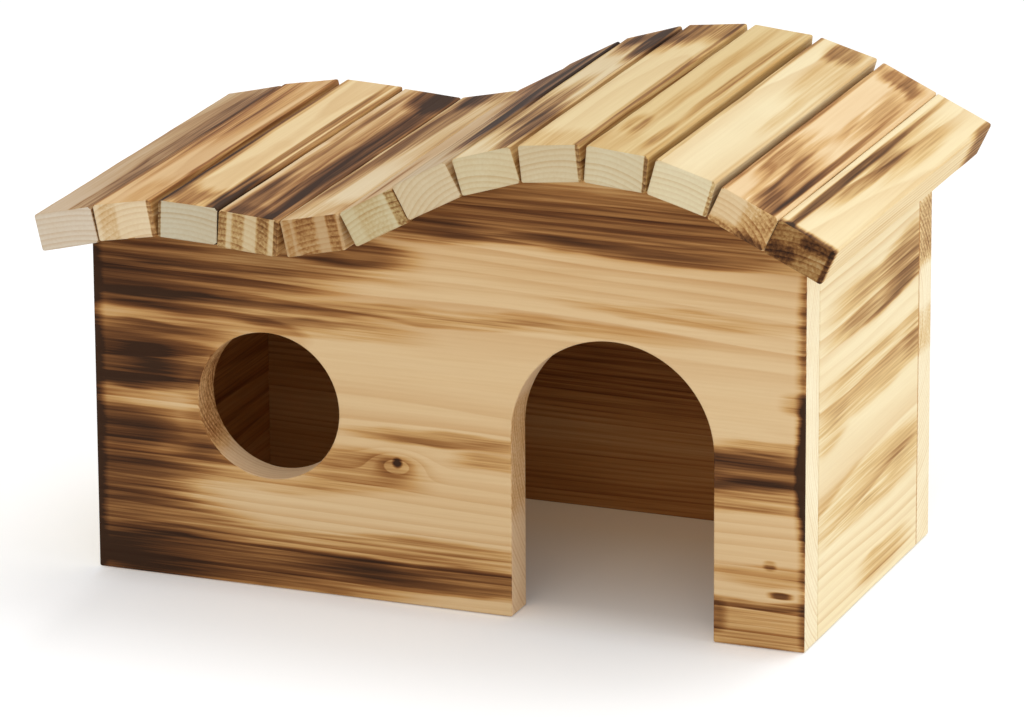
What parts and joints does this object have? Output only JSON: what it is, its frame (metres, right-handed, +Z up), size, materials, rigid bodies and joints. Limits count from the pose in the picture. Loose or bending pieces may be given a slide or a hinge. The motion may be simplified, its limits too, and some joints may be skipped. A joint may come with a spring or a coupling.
{
  "type": "small-animal wooden house",
  "caption": "Bottomless house of scorched softwood boards with an arched doorway, a round window and a wave-shaped roof of flat slats laid from front to back, for a small rabbit.",
  "frame": {"origin": "on the ground, under the middle of the roof's footprint", "axes": "+X along the front to the right, towards the high crest and the doorway; +Y from the front wall to the back wall; +Z up"},
  "size_m": [0.4013, 0.2324, 0.2414],
  "materials": {
    "wall_wood": "planed softwood, scorched with a flame and brushed",
    "slat_wood": "planed softwood, lightly scorched, sawn end grain",
    "brad_steel": "plain drawn wire"
  },
  "bodies": {
    "root": {"front_wall": "wall_wood", "back_wall": "wall_wood", "left_wall": "wall_wood", "right_wall": "wall_wood", "slat_01": "slat_wood", "slat_02": "slat_wood", "slat_03": "slat_wood", "slat_04": "slat_wood", "slat_05": "slat_wood", "slat_06": "slat_wood", "slat_07": "slat_wood", "slat_08": "slat_wood", "slat_09": "slat_wood", "slat_10": "slat_wood", "slat_11": "slat_wood", "slat_12": "slat_wood", "slat_13": "slat_wood", "front_roof_brads": "brad_steel", "back_roof_brads": "brad_steel", "front_corner_brads": "brad_steel", "back_corner_brads": "brad_steel"}
  },
  "joints": []
}
